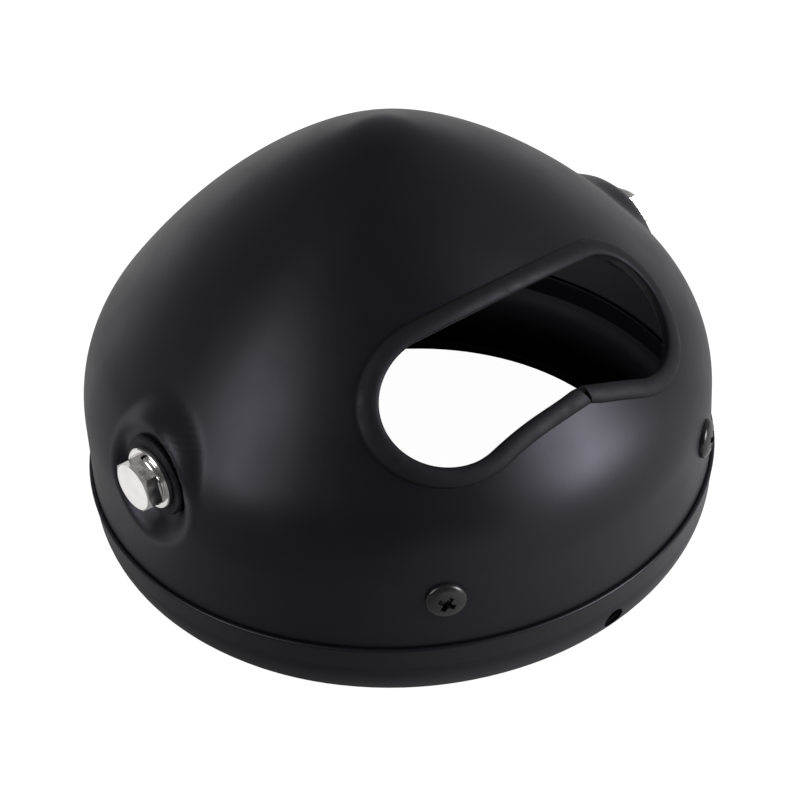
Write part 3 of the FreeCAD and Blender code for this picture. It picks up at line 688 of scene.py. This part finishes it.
def bolt_place(sign, station):
    """A place on the bolts' axis at a distance from the mid-plane; its own +Z points out of the boss."""
    turn = Matrix.Rotation(math.radians(90 * sign), 4, "Y")
    return Matrix.Translation((sign * station, 0, BOLT_LEVEL)) @ turn


def screw_place(sign, station):
    """A place on a screw's axis at a distance from the dome's axis; its own +Z points out of the wall."""
    swing = Matrix.Rotation(math.radians(SCREW_ANGLE * sign), 4, "Z")
    turn = Matrix.Rotation(math.radians(90), 4, "X")
    return swing @ Matrix.Translation((0, -station, SCREW_LEVEL)) @ turn


def shell_cutters():
    """The cable opening and the bolt and screw holes, as separate closed solids."""
    bolt_hole = circle(BOLT_HOLE_RADIUS, HOLE_STEPS)
    screw_hole = circle(SCREW_HOLE_RADIUS, HOLE_STEPS)
    solids = [prism(bean_outline(), opening_plane(), OPENING_CUT_LENGTH)]
    for _, sign in SIDES:
        solids.append(prism(bolt_hole, bolt_place(sign, BOLT_CUT_FROM), BOLT_CUT_LENGTH))
        solids.append(prism(screw_hole, screw_place(sign, SCREW_CUT_FROM), SCREW_CUT_LENGTH))
    return solids


def soft_shell():
    """The shell with its bosses pressed softly from the dome, as the sheet is in the photo."""
    vertices, faces = [], []
    outer, count = shell_skin(0, vertices, faces)
    inner, count = shell_skin(SHEET, vertices, faces)
    for column in range(count):
        following = (column + 1) % count
        faces.append((outer + following, outer + column, inner + column, inner + following))
    shell = new_piece("soft_shell", vertices, faces)
    for corners, sides in shell_cutters():
        carve(shell, corners, sides)
    smooth(shell, SHELL_CREASE)
    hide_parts("bucket_shell")
    return shell


def soft_screw(side, sign):
    """A cross-head screw whose head is rounded down to a low edge."""
    crown = SCREW_HEAD_HEIGHT - SCREW_HEAD_EDGE
    profile = [(SCREW_RADIUS, -SCREW_LENGTH), (SCREW_RADIUS, 0.0), (SCREW_HEAD_RADIUS, 0.0)]
    profile += [(SCREW_HEAD_RADIUS * math.cos(angle), SCREW_HEAD_EDGE + crown * math.sin(angle))
                for angle in between(0, math.pi / 2, SCREW_HEAD_ROWS)]
    place = screw_place(sign, WALL_RADIUS)
    vertices = [place @ Vector((x, y, height)) for radius, height in profile
                for x, y in circle(radius, SCREW_COLUMNS)]
    vertices.append(place @ Vector((0, 0, SCREW_HEAD_HEIGHT)))
    end = tuple(range(SCREW_COLUMNS))[::-1]
    faces = [end] + ring_faces(0, len(profile), SCREW_COLUMNS)
    screw = new_piece(f"soft_screw_{side}", vertices, faces)
    tip, slot = RECESS_REACH, RECESS_HALF_SLOT
    quarter = [(tip, -slot), (tip, slot), (slot, slot)]
    cross = [Matrix.Rotation(math.radians(RECESS_TURN + 90 * turn), 2) @ Vector(corner)
             for turn in range(4) for corner in quarter]
    bottom = place @ Matrix.Translation((0, 0, SCREW_HEAD_HEIGHT - RECESS_DEPTH))
    carve(screw, *prism(cross, bottom, SCREW_HEAD_HEIGHT))
    smooth(screw, SCREW_CREASE)
    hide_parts(f"cross_screw_{side}")
    return screw


def finish_piece(piece, material):
    piece.data.materials.clear()
    piece.data.materials.append(material)
    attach(piece, "root")


def dress(materials):
    """Gives each piece its finish and ties it to the rigid body."""
    shown = {"bucket_shell": soft_shell(), "edge_trim": soft_trim()}
    for side, sign in SIDES:
        shown[f"cross_screw_{side}"] = soft_screw(side, sign)
    for subpart in frame["record"]["subparts"]:
        slot = subpart["material_slot"]
        finish_piece(shown.get(subpart["node"], nodes[subpart["node"]]), materials[slot])


def floor_glow(kit):
    """The floor's glow: white to the camera, uneven in reflections, and inside the mouth for bounces."""
    ray = kit.add("ShaderNodeLightPath").outputs
    place = kit.add("ShaderNodeNewGeometry").outputs["Position"]
    radius = kit.vector_sum("DISTANCE", place, ORIGIN)
    growth = [kit.spread(kit.vector_sum("DOT_PRODUCT", place, way), 0.0, 1.0, dim, bright)
              for way, dim, bright in FLOOR_GROWTH]
    glow = kit.spread(kit.sum("MAXIMUM", *growth), FLOOR_NEAR, FLOOR_FAR)
    glow = kit.sum("MULTIPLY", glow, kit.spread(radius, 0.0, 1.0, *FLOOR_SHADE_OUTER))
    under = kit.spread(radius, FLOOR_UNDER, 0.0, *FLOOR_SHADE_INNER)
    back = kit.vector_sum("DOT_PRODUCT", place, FLOOR_BACK_WAY)
    back = kit.spread(back, 0.0, FLOOR_BACK, *FLOOR_BACK_AT)
    card = kit.spread(kit.vector_sum("DISTANCE", place, CARD_CENTRE), CARD_GLOW, 0.0, *CARD_RADII)
    for extra in (under, back, card):
        glow = kit.sum("MAXIMUM", glow, extra)
    mirrored = kit.sum("MAXIMUM", ray["Is Glossy Ray"], ray["Is Transmission Ray"])
    mirrored = kit.sum("MULTIPLY", mirrored, glow)
    bounced = kit.spread(radius, FLOOR_INSIDE, 0.0, *FLOOR_SHADE_INNER)
    bounced = kit.sum("MULTIPLY", ray["Is Diffuse Ray"], bounced)
    seen = kit.spread(ray["Is Camera Ray"], 0.0, FLOOR_SEEN)
    return kit.sum("MAXIMUM", kit.sum("MAXIMUM", seen, mirrored), bounced)


def add_floor():
    """A plain floor, which keeps the object's shadow and which the camera sees as white."""
    mesh = bpy.data.meshes.new("floor")
    corners = [(-FLOOR_REACH, -FLOOR_REACH, 0), (FLOOR_REACH, -FLOOR_REACH, 0),
               (FLOOR_REACH, FLOOR_REACH, 0), (-FLOOR_REACH, FLOOR_REACH, 0)]
    mesh.from_pydata(corners, [], [(0, 1, 2, 3)])
    floor = placed("floor", mesh)
    kit = Nodes("floor")
    kit.fix("Base Color", (FLOOR_TONE, FLOOR_TONE, FLOOR_TONE, 1))
    kit.fix("Roughness", FLOOR_ROUGHNESS)
    kit.fix("Specular IOR Level", 0.0)
    kit.fix("Emission Color", WHITE)
    kit.join(floor_glow(kit), kit.shader.inputs["Emission Strength"])
    mesh.materials.append(kit.material)


class Room(Nodes):
    """The world's node tree, with the same short ways."""

    def __init__(self):
        self.world = bpy.data.worlds.new("room")
        self.world.use_nodes = True
        self.tree = self.world.node_tree


def add_world():
    """A dim room, brighter towards the far right, that the camera sees as white."""
    kit = Room()
    bpy.context.scene.world = kit.world
    background = kit.tree.nodes["Background"]
    background.inputs["Color"].default_value = WHITE
    way = kit.add("ShaderNodeTexCoord").outputs["Generated"]
    glow = kit.spread(kit.vector_sum("DOT_PRODUCT", way, ROOM_WAY), ROOM_NEAR, ROOM_FAR, *ROOM_GROWTH)
    seen = kit.add("ShaderNodeLightPath").outputs["Is Camera Ray"]
    kit.join(kit.sum("MAXIMUM", seen, glow), background.inputs["Strength"])


def add_soft_box(name, azimuth, height_angle, width, height, brightness):
    """A soft box that looks at the dome."""
    way = way_from(azimuth, height_angle)
    light = bpy.data.lights.new(name, "AREA")
    light.shape = "RECTANGLE"
    light.size = width
    light.size_y = height
    light.energy = brightness * math.pi * width * height
    turn = way.to_track_quat("Z", "Y").to_matrix().to_4x4()
    place = Vector(BOX_TARGET) + way * BOX_DISTANCE
    placed(name, light).matrix_world = Matrix.Translation(place) @ turn


add_camera()
dress({
    "black_paint": powder_coat(),
    "black_rubber": black_rubber(),
    "bright_plating": bright_plating(),
    "black_steel": black_steel(),
    "plain_steel": plain_steel(),
})
add_floor()
add_world()
add_soft_box("left_box", azimuth=-102, height_angle=28, width=0.35, height=0.5, brightness=4.6)
add_soft_box("right_box", azimuth=28, height_angle=18, width=0.42, height=0.5, brightness=10.0)

scene = bpy.context.scene
scene.view_settings.view_transform = "Standard"
